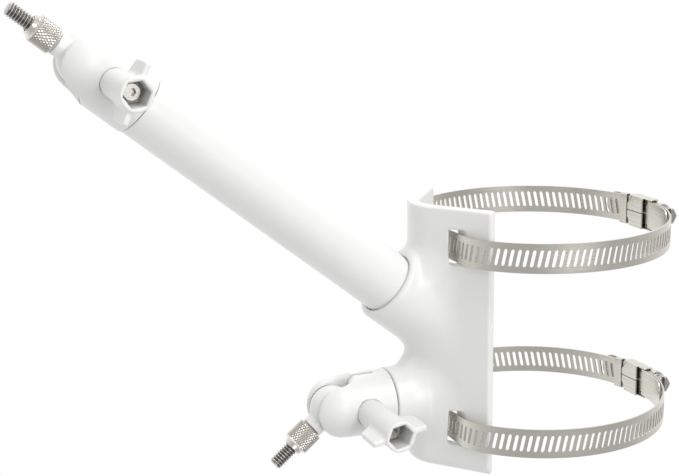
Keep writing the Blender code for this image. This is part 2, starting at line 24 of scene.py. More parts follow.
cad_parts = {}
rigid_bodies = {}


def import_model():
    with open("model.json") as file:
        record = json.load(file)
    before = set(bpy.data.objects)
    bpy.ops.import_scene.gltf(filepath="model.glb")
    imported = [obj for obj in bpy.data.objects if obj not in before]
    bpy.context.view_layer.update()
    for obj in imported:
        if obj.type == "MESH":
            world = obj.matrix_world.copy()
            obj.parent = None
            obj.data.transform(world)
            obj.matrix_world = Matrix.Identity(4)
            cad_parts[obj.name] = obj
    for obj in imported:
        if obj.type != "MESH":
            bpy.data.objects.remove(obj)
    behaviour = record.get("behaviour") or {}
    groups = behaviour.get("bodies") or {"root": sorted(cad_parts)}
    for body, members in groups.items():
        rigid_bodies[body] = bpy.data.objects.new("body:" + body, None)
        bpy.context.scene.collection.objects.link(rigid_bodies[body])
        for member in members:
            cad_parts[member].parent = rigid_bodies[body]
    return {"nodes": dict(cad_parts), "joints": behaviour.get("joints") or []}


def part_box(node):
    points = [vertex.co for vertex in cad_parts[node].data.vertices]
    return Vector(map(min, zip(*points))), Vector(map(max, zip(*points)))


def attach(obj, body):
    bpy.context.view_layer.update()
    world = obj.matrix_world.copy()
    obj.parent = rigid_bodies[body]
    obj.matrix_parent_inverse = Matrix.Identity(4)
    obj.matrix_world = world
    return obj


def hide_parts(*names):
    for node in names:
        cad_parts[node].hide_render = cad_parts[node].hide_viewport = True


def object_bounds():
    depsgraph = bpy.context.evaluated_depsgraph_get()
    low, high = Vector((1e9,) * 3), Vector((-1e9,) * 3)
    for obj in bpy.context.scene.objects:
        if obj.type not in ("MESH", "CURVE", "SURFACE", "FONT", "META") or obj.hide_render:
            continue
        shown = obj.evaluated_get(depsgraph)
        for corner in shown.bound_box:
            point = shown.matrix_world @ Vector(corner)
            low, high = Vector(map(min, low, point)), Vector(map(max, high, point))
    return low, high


MM = 0.001
LOG = logging.getLogger("bracket")
Field = Callable[[np.ndarray], np.ndarray]


class End(Enum):
    """The bracket's two ends: each has a clamp head and a band."""

    UPPER = "upper"
    LOWER = "lower"


# ---------------------------------------------------------------- places and shapes

@dataclass(frozen=True)
class Place:
    """A local frame: its origin and its axes, the columns of a matrix, in the bracket's frame."""

    origin: np.ndarray
    axes: np.ndarray

    @classmethod
    def along(cls, origin: np.ndarray, direction: np.ndarray, side: np.ndarray) -> Place:
        """Make a frame whose Z runs along a direction and whose Y is a side square to it.

        Args:
            origin: The frame's origin.
            direction: The direction of its Z axis.
            side: The direction of its Y axis.

        Returns:
            The frame, right-handed.
        """
        z = direction / np.linalg.norm(direction)
        y = side / np.linalg.norm(side)
        return cls(np.asarray(origin, float), np.stack([np.cross(y, z), y, z], axis=1))

    def out(self, points: np.ndarray) -> np.ndarray:
        """Carry local points into the bracket's frame."""
        return self.origin + points @ self.axes.T

    def into(self, points: np.ndarray) -> np.ndarray:
        """Carry points of the bracket's frame into this one."""
        return (points - self.origin) @ self.axes

    def moved(self, x: float = 0.0, y: float = 0.0, z: float = 0.0) -> Place:
        """A frame with the same axes, its origin moved along them."""
        return Place(self.out(np.array([x, y, z])), self.axes)

    def leaning(self, degrees: float) -> Place:
        """The same frame turned about its own Y axis, so that Z leans towards X."""
        angle = math.radians(degrees)
        cos, sin = math.cos(angle), math.sin(angle)
        turn = np.array([[cos, 0, sin], [0, 1, 0], [-sin, 0, cos]])
        return Place(self.origin, self.axes @ turn)


@dataclass
class Shape:
    """Points, faces as arrays of quads or triangles, and the values that a finish reads at each point."""

    points: np.ndarray
    faces: list[np.ndarray]
    values: dict[str, np.ndarray] = field(default_factory=dict)

    def at(self, place: Place) -> Shape:
        """The same shape carried from its own frame into the bracket's."""
        return Shape(place.out(self.points), self.faces, self.values)


def grid_quads(rows: int, columns: int) -> np.ndarray:
    """Quads of a grid of points numbered row by row, whose last column meets its first."""
    start = np.arange(rows - 1)[:, None] * columns
    here = np.arange(columns)[None, :]
    following = (here + 1) % columns
    quads = [start + here, start + following, start + columns + following, start + columns + here]
    return np.stack(quads, axis=-1).reshape(-1, 4)


def turned(profile: np.ndarray, columns: int, ring: bool = False,
           relief: Callable[[np.ndarray, np.ndarray], np.ndarray] | None = None) -> Shape:
    """Turn a profile about Z: each point stands at its row's radius and height, at even angles.

    Args:
        profile: Rows of (radius, height, share of the relief).
        columns: How many points go round.
        ring: True if the last row meets the first, for a piece with a bore. Otherwise both ends are closed.
        relief: Depth below the radius, as a function of angle and height.

    Returns:
        The closed shape, with the relief's depth as its value named depth.
    """
    angle = np.linspace(0, 2 * math.pi, columns, endpoint=False)[None, :]
    radius, height, share = (profile[:, k][:, None] for k in range(3))
    depth = share * relief(angle, height) if relief else np.zeros((len(profile), columns))
    out = radius - depth
    points = np.stack([out * np.cos(angle), out * np.sin(angle), height + 0 * angle], axis=-1).reshape(-1, 3)
    rows = len(profile)
    faces = [grid_quads(rows, columns)]
    first = np.arange(columns)
    last = first + (rows - 1) * columns
    values = depth.ravel()
    if ring:
        faces.append(np.stack([last, np.roll(last, -1), np.roll(first, -1), first], axis=1))
    else:
        middle = len(points)
        points = np.vstack([points, [[0, 0, profile[0, 1]], [0, 0, profile[-1, 1]]]])
        values = np.append(values, [0, 0])
        faces.append(np.stack([np.roll(first, -1), first, np.full(columns, middle)], axis=1))
        faces.append(np.stack([last, np.roll(last, -1), np.full(columns, middle + 1)], axis=1))
    return Shape(points, faces, {"depth": values})


def profile_rows(*stretches: tuple[np.ndarray, np.ndarray] | tuple[float, float]) -> np.ndarray:
    """Join stretches of (radius, height), numbers or arrays, into profile rows with no relief."""
    flat = [(np.atleast_1d(radius), np.atleast_1d(height)) for radius, height in stretches]
    return np.vstack([np.stack(np.broadcast_arrays(radius, height, 0.0), axis=1) for radius, height in flat])


def quarter(steps: int, start: float, end: float) -> tuple[np.ndarray, np.ndarray]:
    """Cosine and sine of evenly spread angles, in degrees, for a rounded corner."""
    angle = np.radians(np.linspace(start, end, steps + 1))
    return np.cos(angle), np.sin(angle)


# ---------------------------------------------------------------- distance fields

def round_union(a: np.ndarray, b: np.ndarray, fillet: float) -> np.ndarray:
    """Join two fields, with a fillet where they meet.

    Args:
        a: One field's values.
        b: The other's.
        fillet: Width of the band of distances over which the two blend.

    Returns:
        The joined field's values.
    """
    near = np.maximum(fillet - np.abs(a - b), 0) / fillet
    return np.minimum(a, b) - near * near * fillet / 4


def round_cut(a: np.ndarray, tool: np.ndarray, edge: float) -> np.ndarray:
    """Take a tool's field away, with a softened edge."""
    return -round_union(-a, tool, edge)


def cuts(body: np.ndarray, *tools: tuple[np.ndarray, float]) -> np.ndarray:
    """Take tools' fields away one after the other.

    Args:
        body: The field's values.
        tools: Each tool's values, with the width of its softened edge.

    Returns:
        What is left.
    """
    for tool, edge in tools:
        body = round_cut(body, tool, edge)
    return body


def chamfer_cut(a: np.ndarray, tool: np.ndarray, leg: float, edge: float) -> np.ndarray:
    """Take a tool's field away and cut the corner at 45 degrees, where the two distances add up to the leg.

    Args:
        a: The field's values.
        tool: The tool's.
        leg: Leg of the chamfer.
        edge: Width of the softened edges.

    Returns:
        What is left.
    """
    slope = (a - tool + leg) * math.sqrt(0.5)
    return round_cut(round_cut(a, tool, edge), -slope, edge)


def rounded(first: np.ndarray, second: np.ndarray, edge: float) -> np.ndarray:
    """Keep what is inside both fields.

    Args:
        first: One field's values.
        second: The other's.
        edge: Radius of the edge where they meet.

    Returns:
        The values of what both hold.
    """
    a, b = first + edge, second + edge
    return np.minimum(np.maximum(a, b), 0) + np.hypot(np.maximum(a, 0), np.maximum(b, 0)) - edge


def rod_field(p: np.ndarray, radius: float, low: float, high: float, edge: float = 0.01,
              taper: float = 0.0) -> np.ndarray:
    """A round rod along Z.

    Args:
        p: The points.
        radius: Radius at its low end.
        low: Height of that end.
        high: Height of the other end.
        edge: Radius of the edge round both ends.
        taper: Radius gained per mm of height.

    Returns:
        Distance to the rod at each point.
    """
    side = np.hypot(p[:, 0], p[:, 1]) - radius - taper * (p[:, 2] - low)
    return rounded(side, np.abs(p[:, 2] - (low + high) / 2) - (high - low) / 2, edge)


def slab_field(p: np.ndarray, low: tuple[float, float, float], high: tuple[float, float, float],
               edge: float = 0.01) -> np.ndarray:
    """A box with rounded edges: the distance to the box shrunk by the edge's radius, less that radius.

    Args:
        p: The points.
        low: Lowest corner.
        high: Highest corner.
        edge: Radius of its edges.

    Returns:
        Distance to the box at each point.
    """
    lowest, highest = np.array(low), np.array(high)
    q = np.abs(p - (lowest + highest) / 2) - (highest - lowest) / 2 + edge
    return np.minimum(q.max(axis=1), 0) + np.linalg.norm(np.maximum(q, 0), axis=1) - edge


def hexagon_field(p: np.ndarray, across: float, angle: float = 0.0) -> np.ndarray:
    """An endless hexagonal bar along Z, with a corner at an angle in degrees."""
    flats = [math.radians(angle + 30 + 60 * k) for k in range(3)]
    return np.max([np.abs(p[:, 0] * math.cos(a) + p[:, 1] * math.sin(a)) for a in flats], axis=0) - across / 2


@dataclass(frozen=True)
class Blend:
    """The rounded convex body round a cloud of points: the flats of its hull, summed as powers."""

    normals: np.ndarray
    offsets: np.ndarray
    reach: float = 9.0

    @classmethod
    def round(cls, points: np.ndarray) -> Blend:
        """Find the hull's flats, each one once, for an array of points."""
        work = bmesh.new()
        for point in points:
            work.verts.new(point)
        bmesh.ops.convex_hull(work, input=work.verts)
        work.normal_update()
        planes = [[*face.normal, face.normal.dot(face.verts[0].co)] for face in work.faces]
        work.free()
        flats = np.unique(np.round(planes, 3), axis=0)
        return cls(flats[:, :3], flats[:, 3])

    def field(self, p: np.ndarray) -> np.ndarray:
        """Distance-like field: the eighth root of the sum of eighth powers of the distances to the flats."""
        total = np.zeros(len(p))
        for normal, offset in zip(self.normals, self.offsets):
            far = np.maximum(p @ normal - offset + self.reach, 0) ** 2
            total += (far * far) ** 2
        return total ** 0.125 - self.reach


def field_slope(shape: Field, points: np.ndarray, reach: float = 0.02) -> np.ndarray:
    """Slope of a field at each point, from its values at the corners of a small tetrahedron."""
    corners = np.array([[1, -1, -1], [-1, -1, 1], [-1, 1, -1], [1, 1, 1]], float)
    return sum(corner * shape(points + corner * reach)[:, None] for corner in corners) / (4 * reach)


def mesh_of(shape: Field, low: np.ndarray, high: np.ndarray, step: float) -> Shape:
    """Mesh the surface where a field is zero.

    Each grid cell that the surface crosses gets one point, the mean of the crossings on its edges. Each grid
    edge that the surface crosses gets one quad, between the four cells round it. The points are then moved
    down the field's slope onto the surface.

    Args:
        shape: The field.
        low: Lowest corner of the space it fills.
        high: Highest corner.
        step: Size of a grid cell.

    Returns:
        The closed shape.
    """
    low = np.asarray(low, float) - 2 * step
    counts = np.ceil((np.asarray(high, float) + 2 * step - low) / step).astype(int) + 1
    values = np.empty(counts)
    y, z = np.meshgrid(*(low[k] + step * np.arange(counts[k]) for k in (1, 2)), indexing="ij")
    for i in range(counts[0]):
        layer = np.stack([np.full(y.size, low[0] + step * i), y.ravel(), z.ravel()], axis=1)
        values[i] = shape(layer).reshape(y.shape)
    inside = values < 0
    cells, spots, quads = [], [], []
    for axis in range(3):
        before = tuple(slice(0, -1) if k == axis else slice(None) for k in range(3))
        after = tuple(slice(1, None) if k == axis else slice(None) for k in range(3))
        at = np.argwhere(inside[before] != inside[after])
        near, far = values[before][tuple(at.T)], values[after][tuple(at.T)]
        spot = at.astype(float)
        spot[:, axis] += near / (near - far)
        ring = []
        for u, v in ((0, 0), (-1, 0), (-1, -1), (0, -1)):
            cell = at.copy()
            cell[:, (axis + 1) % 3] += u
            cell[:, (axis + 2) % 3] += v
            ring.append(np.ravel_multi_index(cell.T, counts))
        ring = np.stack(ring, axis=1)
        quads.append(np.where((near < 0)[:, None], ring, ring[:, ::-1]))
        cells.append(ring.ravel())
        spots.append(np.repeat(spot, 4, axis=0))
    used, index = np.unique(np.concatenate(cells), return_inverse=True)
    spot = np.concatenate(spots)
    hits = np.bincount(index)
    points = np.stack([np.bincount(index, spot[:, k]) / hits for k in range(3)], axis=1) * step + low
    for _ in range(3):
        slope = field_slope(shape, points)
        length = np.maximum((slope ** 2).sum(axis=1), 0.05)
        move = np.clip(shape(points) / length, -step / 2, step / 2)
        points = points - slope * move[:, None]
    return Shape(points, [np.searchsorted(used, np.concatenate(quads))])


# ---------------------------------------------------------------- materials

def linear(colour: str, alpha: float = 1.0) -> tuple[float, float, float, float]:
    """Turn an sRGB hex colour into the linear values that shaders use.

    Args:
        colour: The colour, such as "#E2E2E1".
        alpha: Its opacity.

    Returns:
        Red, green, blue and alpha.
    """
    parts = [int(colour[k:k + 2], 16) / 255 for k in (1, 3, 5)]
    red, green, blue = (c / 12.92 if c <= 0.04045 else ((c + 0.055) / 1.055) ** 2.4 for c in parts)
    return red, green, blue, alpha


def add_node(tree: bpy.types.NodeTree, kind: str, inputs: dict | None = None, **settings) -> bpy.types.Node:
    """Add a node.

    Args:
        tree: The tree that it joins.
        kind: The node's type.
        inputs: A value, or a socket to link from, for each input named or numbered.
        settings: The node's own properties.

    Returns:
        The node.
    """
    node = tree.nodes.new(kind)
    for name, value in settings.items():
        setattr(node, name, value)
    for name, value in (inputs or {}).items():
        if isinstance(value, bpy.types.NodeSocket):
            tree.links.new(value, node.inputs[name])
        else:
            node.inputs[name].default_value = value
    return node


def new_material(name: str) -> tuple[bpy.types.Material, bpy.types.NodeTree, bpy.types.Node]:
    """A material with its tree and its Principled shader."""
    material = bpy.data.materials.new(name)
    material.use_nodes = True
    return material, material.node_tree, material.node_tree.nodes["Principled BSDF"]


def surface(tree: bpy.types.NodeTree, shader: bpy.types.Node, colour: bpy.types.NodeSocket,
            noise: bpy.types.NodeSocket, roughness: tuple[float, float]) -> None:
    """Give a shader its colour and roughness.

    Args:
        tree: The shader's tree.
        shader: The shader.
        colour: Socket that holds the colour.
        noise: Socket whose values, mostly from 0.3 to 0.7, move the roughness.
        roughness: Lowest and highest roughness.
    """
    gloss = add_node(tree, "ShaderNodeMapRange", {"Value": noise, "From Min": 0.3, "From Max": 0.7,
                                                  "To Min": roughness[0], "To Max": roughness[1]})
    tree.links.new(colour, shader.inputs["Base Color"])
    tree.links.new(gloss.outputs[0], shader.inputs["Roughness"])


def bumps(tree: bpy.types.NodeTree, shader: bpy.types.Node, height: bpy.types.NodeSocket, strength: float,
          depth: float) -> None:
    """Give a shader a relief.

    Args:
        tree: The shader's tree.
        shader: The shader.
        height: Socket that holds the height, from 0 to 1.
        strength: How much of the slope shows, from 0 to 1.
        depth: Depth of the relief in mm.
    """
    bump = add_node(tree, "ShaderNodeBump", {"Height": height, "Strength": strength, "Distance": depth * MM})
    tree.links.new(bump.outputs[0], shader.inputs["Normal"])


@dataclass(frozen=True)
class Coating:
    """Polymer skin on a piece: an even colour with slight clouding, satin gloss and a fine relief.

    Polyester powder coat flows into orange peel about a millimetre and a half across. Moulded nylon takes the
    finer texture of its mould.
    """

    name: str
    colour: str
    cloud: str
    roughness: tuple[float, float]
    pitch: float
    relief: float

    def make(self) -> bpy.types.Material:
        """Build the material: clouded colour, uneven gloss, and bumps of the pitch and relief given in mm."""
        material, tree, shader = new_material(self.name)
        spot = add_node(tree, "ShaderNodeTexCoord").outputs["Object"]
        cloud = add_node(tree, "ShaderNodeTexNoise", {"Vector": spot, "Scale": 1 / (14 * MM), "Detail": 3.0})
        colour = add_node(tree, "ShaderNodeMix", {0: cloud.outputs["Fac"], 6: linear(self.colour),
                                                  7: linear(self.cloud)}, data_type="RGBA")
        scale = 1 / (self.pitch * MM)
        peel = add_node(tree, "ShaderNodeTexNoise", {"Vector": spot, "Scale": scale, "Detail": 2.0})
        surface(tree, shader, colour.outputs[2], cloud.outputs["Fac"], self.roughness)
        bumps(tree, shader, peel.outputs["Fac"], 0.6, self.relief)
        shader.inputs["IOR"].default_value = 1.5
        return material


@dataclass(frozen=True)
class Plating:
    """Electroplated steel or brass: a metal skin, mottled at random, with painted shade darkening its colour
    where its relief is deep.
    """

    name: str
    colour: str
    # dark colour, reached partly by random mottle and partly by painted shade in the relief's deep grooves
    mottle_and_groove_shade: str
    roughness: tuple[float, float]
    pitch: float
    # depths in mm over which the painted shade in the grooves deepens
    groove: tuple[float, float] = (0.1, 0.6)

    def make(self) -> bpy.types.Material:
        """Build the material: random mottling of the pitch in mm, and painted shade, darker between the
        groove's depths in mm.
        """
        material, tree, shader = new_material(self.name)
        spot = add_node(tree, "ShaderNodeTexCoord").outputs["Object"]
        scale = 1 / (self.pitch * MM)
        mottle = add_node(tree, "ShaderNodeTexNoise", {"Vector": spot, "Scale": scale, "Detail": 4.0})
        depth = add_node(tree, "ShaderNodeAttribute", attribute_name="depth").outputs["Fac"]
        # painted shade: the colour darkens with the relief's depth, as if the grooves lay in shade
        groove_shade = add_node(tree, "ShaderNodeMapRange", {"Value": depth, "From Min": self.groove[0],
                                                     "From Max": self.groove[1]})
        # random mottle plus painted shade in the grooves, as one mixing factor
        mottle_and_shade = add_node(tree, "ShaderNodeMath", {0: mottle.outputs["Fac"], 1: 0.3, 2: groove_shade.outputs[0]},
                        operation="MULTIPLY_ADD", use_clamp=True)
        colour = add_node(tree, "ShaderNodeMix", {0: mottle_and_shade.outputs[0], 6: linear(self.colour),
                                                  7: linear(self.mottle_and_groove_shade)}, data_type="RGBA")
        surface(tree, shader, colour.outputs[2], mottle.outputs["Fac"], self.roughness)
        bumps(tree, shader, mottle.outputs["Fac"], 0.3, 0.02)
        shader.inputs["Metallic"].default_value = 1.0
        return material


@dataclass(frozen=True)
class RolledStrip:
    """Cold-rolled stainless strip: warm grey metal with fine lines along it and blurred reflections."""

    name: str
    colour: str
    streak: str
    roughness: tuple[float, float]
    line: float = 0.35      # across the strip; the real rolling lines are finer than the eye resolves

    def make(self) -> bpy.types.Material:
        """Build the material from the strip's own coordinates, which are stretched along its length."""
        material, tree, shader = new_material(self.name)
        along = add_node(tree, "ShaderNodeAttribute", attribute_name="strip").outputs["Vector"]
        stretch = (0.03, 1 / self.line, 1 / self.line)
        fine = add_node(tree, "ShaderNodeMapping", {"Vector": along, "Scale": stretch})
        lines = add_node(tree, "ShaderNodeTexNoise", {"Vector": fine.outputs[0], "Scale": 1.0, "Detail": 4.0})
        wide = add_node(tree, "ShaderNodeTexNoise", {"Vector": along, "Scale": 0.09, "Detail": 2.0})
        tone = add_node(tree, "ShaderNodeMath", {0: lines.outputs["Fac"], 1: wide.outputs["Fac"], 2: 0.1},
                        operation="MULTIPLY_ADD")
        colour = add_node(tree, "ShaderNodeMix", {0: tone.outputs[0], 6: linear(self.colour),
                                                  7: linear(self.streak)}, data_type="RGBA")
        surface(tree, shader, colour.outputs[2], lines.outputs["Fac"], self.roughness)
        bumps(tree, shader, lines.outputs["Fac"], 0.35, 0.03)
        shader.inputs["Metallic"].default_value = 1.0
        return material


class Finish(Enum):
    """The finishes on the bracket."""

    CASTING = "coated_casting"
    TUBE = "coated_tube"
    KNOB = "knob_nylon"
    WASHER = "washer_nylon"
    ZINC = "zinc_plated_steel"
    NICKEL = "nickel_plate"
    STRIP = "stainless_strip"
    SCREW = "stainless_screw"


FINISHES = {
    Finish.CASTING: Coating("powder_coat_on_casting", "#E2E2E1", "#DDDDDC", (0.30, 0.38), 1.6, 0.05),
    Finish.TUBE: Coating("powder_coat_on_tube", "#E3E3E2", "#DEDEDD", (0.28, 0.34), 1.9, 0.03),
    Finish.KNOB: Coating("moulded_white_nylon", "#E2E2E0", "#DCDCDA", (0.36, 0.46), 0.5, 0.02),
    Finish.WASHER: Coating("natural_nylon", "#D9D6CB", "#CFCBBE", (0.45, 0.55), 0.4, 0.02),
    # each plating's second colour serves both its random mottle and the painted shade in its grooves
    Finish.ZINC: Plating("zinc_plate", "#C8C6C2", "#74726D", (0.20, 0.34), 0.8, (0.15, 0.62)),
    Finish.NICKEL: Plating("nickel_plate", "#E2DED6", "#7C776D", (0.18, 0.28), 0.9, (0.24, 0.36)),
    Finish.STRIP: RolledStrip("rolled_stainless_strip", "#D4D1C9", "#B9B5AC", (0.22, 0.36)),
    Finish.SCREW: Plating("cold_headed_stainless", "#BCB9B2", "#716D65", (0.20, 0.34), 1.1, (0.2, 0.9)),
}


class Workshop:
    """Makes the pieces' objects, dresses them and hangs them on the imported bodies."""

    def __init__(self) -> None:
        """Build each finish's material once."""
        self.materials = {finish: recipe.make() for finish, recipe in FINISHES.items()}

    def fit(self, name: str, shape: Shape, body: str, finish: Finish, node: str, sharp: float = 0.0) -> None:
        """Make a piece from its shape and let it stand for a CAD node.

        Args:
            name: The piece's name.
            shape: Its shape, in mm in the bracket's frame.
            body: The body that it rides on.
            finish: Its finish.
            node: The CAD node that it replaces.
            sharp: Angle in degrees above which an edge stays crisp, or 0 if all of it is shaded smooth.
        """
        mesh = bpy.data.meshes.new(name)
        points = shape.points * MM
        corners = np.concatenate([faces.ravel() for faces in shape.faces])
        sizes = np.concatenate([np.full(len(faces), faces.shape[1]) for faces in shape.faces])
        mesh.vertices.add(len(points))
        mesh.vertices.foreach_set("co", points.astype(np.float32).ravel())
        mesh.loops.add(len(corners))
        mesh.loops.foreach_set("vertex_index", corners.astype(np.int32))
        mesh.polygons.add(len(sizes))
        mesh.polygons.foreach_set("loop_start", (np.cumsum(sizes) - sizes).astype(np.int32))
        mesh.update(calc_edges=True)
        if self.volume(shape) < 0:
            mesh.flip_normals()
        for key, values in shape.values.items():
            kind, slot = ("FLOAT", "value") if values.ndim == 1 else ("FLOAT_VECTOR", "vector")
            mesh.attributes.new(key, kind, "POINT").data.foreach_set(slot, values.astype(np.float32).ravel())
        mesh.shade_smooth()
        if sharp:
            mesh.set_sharp_from_angle(angle=math.radians(sharp))
        mesh.materials.append(self.materials[finish])
        piece = bpy.data.objects.new(name, mesh)
        bpy.context.scene.collection.objects.link(piece)
        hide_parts(node)
        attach(piece, body)
        triangles = int((sizes - 2).sum())
        LOG.info("%s: %d triangles, rides on %s, stands for %s", name, triangles, body, node)

    @staticmethod
    def volume(shape: Shape) -> float:
        """Add up the tetrahedra from the origin to each face's triangles.

        Args:
            shape: The closed shape.

        Returns:
            Its volume in cubic mm, below zero if its faces point inwards.
        """
        total = 0.0
        for faces in shape.faces:
            for k in range(1, faces.shape[1] - 1):
                a, b, c = (shape.points[faces[:, j]] for j in (0, k, k + 1))
                total += float(np.einsum("ij,ij->", a, np.cross(b, c))) / 6
        return total

    def dress(self, node: str, piece: bpy.types.Object, finish: Finish) -> None:
        """Give a CAD node that stays its finish.

        Args:
            node: The node's name.
            piece: Its object.
            finish: Its finish.
        """
        piece.data.materials.clear()
        piece.data.materials.append(self.materials[finish])
        LOG.info("%s: kept, dressed as %s", node, finish.value)


# ---------------------------------------------------------------- saddle and arm

@dataclass(frozen=True)
class Saddle:
    """Cast saddle: a V of two wings and a round spine, a sloping boss for the tube and a level boss."""

    arm: Place
    stub: Place
    height: float = 117.6
    spine_x: float = -45.8
    spine_radius: float = 16.3
    wall: float = 5.0
    half_angle: float = 51.3
    wing_length: float = 28.8
    edge: float = 0.9
    foot: float = 4.0
    boss_radius: float = 16.6
    boss_rim: float = 1.8
    socket_radius: float = 13.65
    socket_depth: float = 7.3
    stub_radius: float = 14.2
    slot_x: tuple[float, float] = (-52.3, -47.7)
    slot_height: float = 15.6
    slot_heights: tuple[float, float] = (42.0, -39.0)
    web_half: float = 4.0
    screw_bore: float = 3.3
    screw_head_bore: float = 5.5
    screw_web: float = 8.0
    stub_bore: float = 2.8
    step: float = 0.72

    def across(self, p: np.ndarray) -> tuple[np.ndarray, np.ndarray]:
        """Measure points in plan, on either side of the middle plane.

        Args:
            p: The points.

        Returns:
            Distance from the spine's axis, or past its arc from the wing's own line, and distance along the
            wing.
        """
        half = math.radians(self.half_angle)
        x, y = p[:, 0] - self.spine_x, np.abs(p[:, 1])
        along = x * math.cos(half) + y * math.sin(half)
        off = -x * math.sin(half) + y * math.cos(half)
        return np.where(along <= 0, np.hypot(x, y), off), along

    @staticmethod
    def flare(place: Place, radius: float, start: float, footprint: list[tuple]) -> Blend:
        """Wrap a rounded body round a ring on a boss and the corners of its foot on the wings.

        Args:
            place: The boss's frame.
            radius: Radius of the ring.
            start: Height of the ring along the boss.
            footprint: Corners of the foot.

        Returns:
            The body.
        """
        angle = np.linspace(0, 2 * math.pi, 24, endpoint=False)
        ring = np.stack([radius * np.cos(angle), radius * np.sin(angle), np.full(24, start)], axis=1)
        return Blend.round(np.vstack([place.out(ring), footprint]))

    def shape(self) -> Shape:
        """Mesh the whole casting from its field."""
        sides = (1, -1)
        upper_foot = [(-52.8, 17.0 * s, z) for s in sides for z in (33.8, 2.4)]
        upper_foot += [(-60.0, 5.6 * s, z) for s in sides for z in (39.0, -5.6)]
        lower_foot = [(-52.9, 16.8 * s, z) for s in sides for z in (-22.4, -35.1)]
        lower_foot += [(-57.5, 10.9 * s, z) for s in sides for z in (-14.4, -43.1)]
        corners = ((-56, -7), (-62, -9), (-63.3, -10.3), (-68.5, -13.6), (-56, -18))
        web = [(x, y, z) for y in (-self.web_half, self.web_half) for x, z in corners]
        upper = self.flare(self.arm, self.boss_radius - 0.7, -3.0, upper_foot)
        lower = self.flare(self.stub, self.stub_radius - 0.7, -5.0, lower_foot)
        crotch = Blend.round(np.array(web))

        def whole(p: np.ndarray) -> np.ndarray:
            """The casting's field: plate, bosses and web joined, then the pole's space and the holes cut."""
            reach, along = self.across(p)
            outer, inner = reach - self.spine_radius, self.spine_radius - self.wall - reach
            ends = np.abs(p[:, 2]) - self.height / 2
            plate = rounded(rounded(outer, inner, self.edge), along - self.wing_length, self.edge)
            plate = rounded(plate, ends, self.edge)
            plate = np.maximum(plate, rounded(outer, -p[:, 2] - self.height / 2, self.foot))
            at_arm, at_stub = self.arm.into(p), self.stub.into(p)
            rod = rod_field(at_arm, self.boss_radius, -40, 0, self.boss_rim)
            boss = round_union(rod, upper.field(p), 2.5)
            level = round_union(rod_field(at_stub, self.stub_radius, -14, 0, 0.5), lower.field(p), 2.5)
            bosses = round_union(round_union(boss, level, 5.0), crotch.field(p), 3.0)
            body = np.maximum(round_union(plate, bosses, 7.0), inner)
            for height in self.slot_heights:
                low = (self.slot_x[0], -60, height - self.slot_height / 2)
                high = (self.slot_x[1], 60, height + self.slot_height / 2)
                body = round_cut(body, slab_field(p, low, high, 1.0), 0.9)
            head = -self.socket_depth - self.screw_web
            return cuts(body, (rod_field(at_arm, self.socket_radius, -self.socket_depth, 20), 0.7),
                        (rod_field(at_arm, self.screw_bore, -60, 10), 0.4),
                        (rod_field(at_arm, self.screw_head_bore, -60, head), 0.6),
                        (rod_field(at_stub, self.stub_bore, -10, 5), 0.4))

        low, high = (np.array(corner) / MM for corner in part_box("saddle_bracket"))
        return mesh_of(whole, low, high, self.step)


@dataclass(frozen=True)
class ArmTube:
    """Drawn tube of the arm, coated, with its edges broken."""

    place: Place
    radius: float = 13.35
    wall: float = 2.0
    low: float = -7.0
    length: float = 136.7
    edge: float = 0.35

    def shape(self) -> Shape:
        """Turn the tube's section: outer wall, rounded end, bore and back."""
        cos, sin = quarter(4, 0, 90)
        outer, bore = self.radius - self.edge, self.radius - self.wall + self.edge
        top, bottom = self.length - self.edge, self.low + self.edge
        rows = profile_rows(
            (self.radius, np.linspace(bottom, top, 40)),
            (outer + self.edge * cos[1:], top + self.edge * sin[1:]),
            (bore - self.edge * sin, top + self.edge * cos),
            (bore - self.edge * cos, bottom - self.edge * sin),
            (outer + self.edge * sin[:-1], bottom - self.edge * cos[:-1]),
        )
        return turned(rows, 128, ring=True).at(self.place)


# ---------------------------------------------------------------- clamp heads

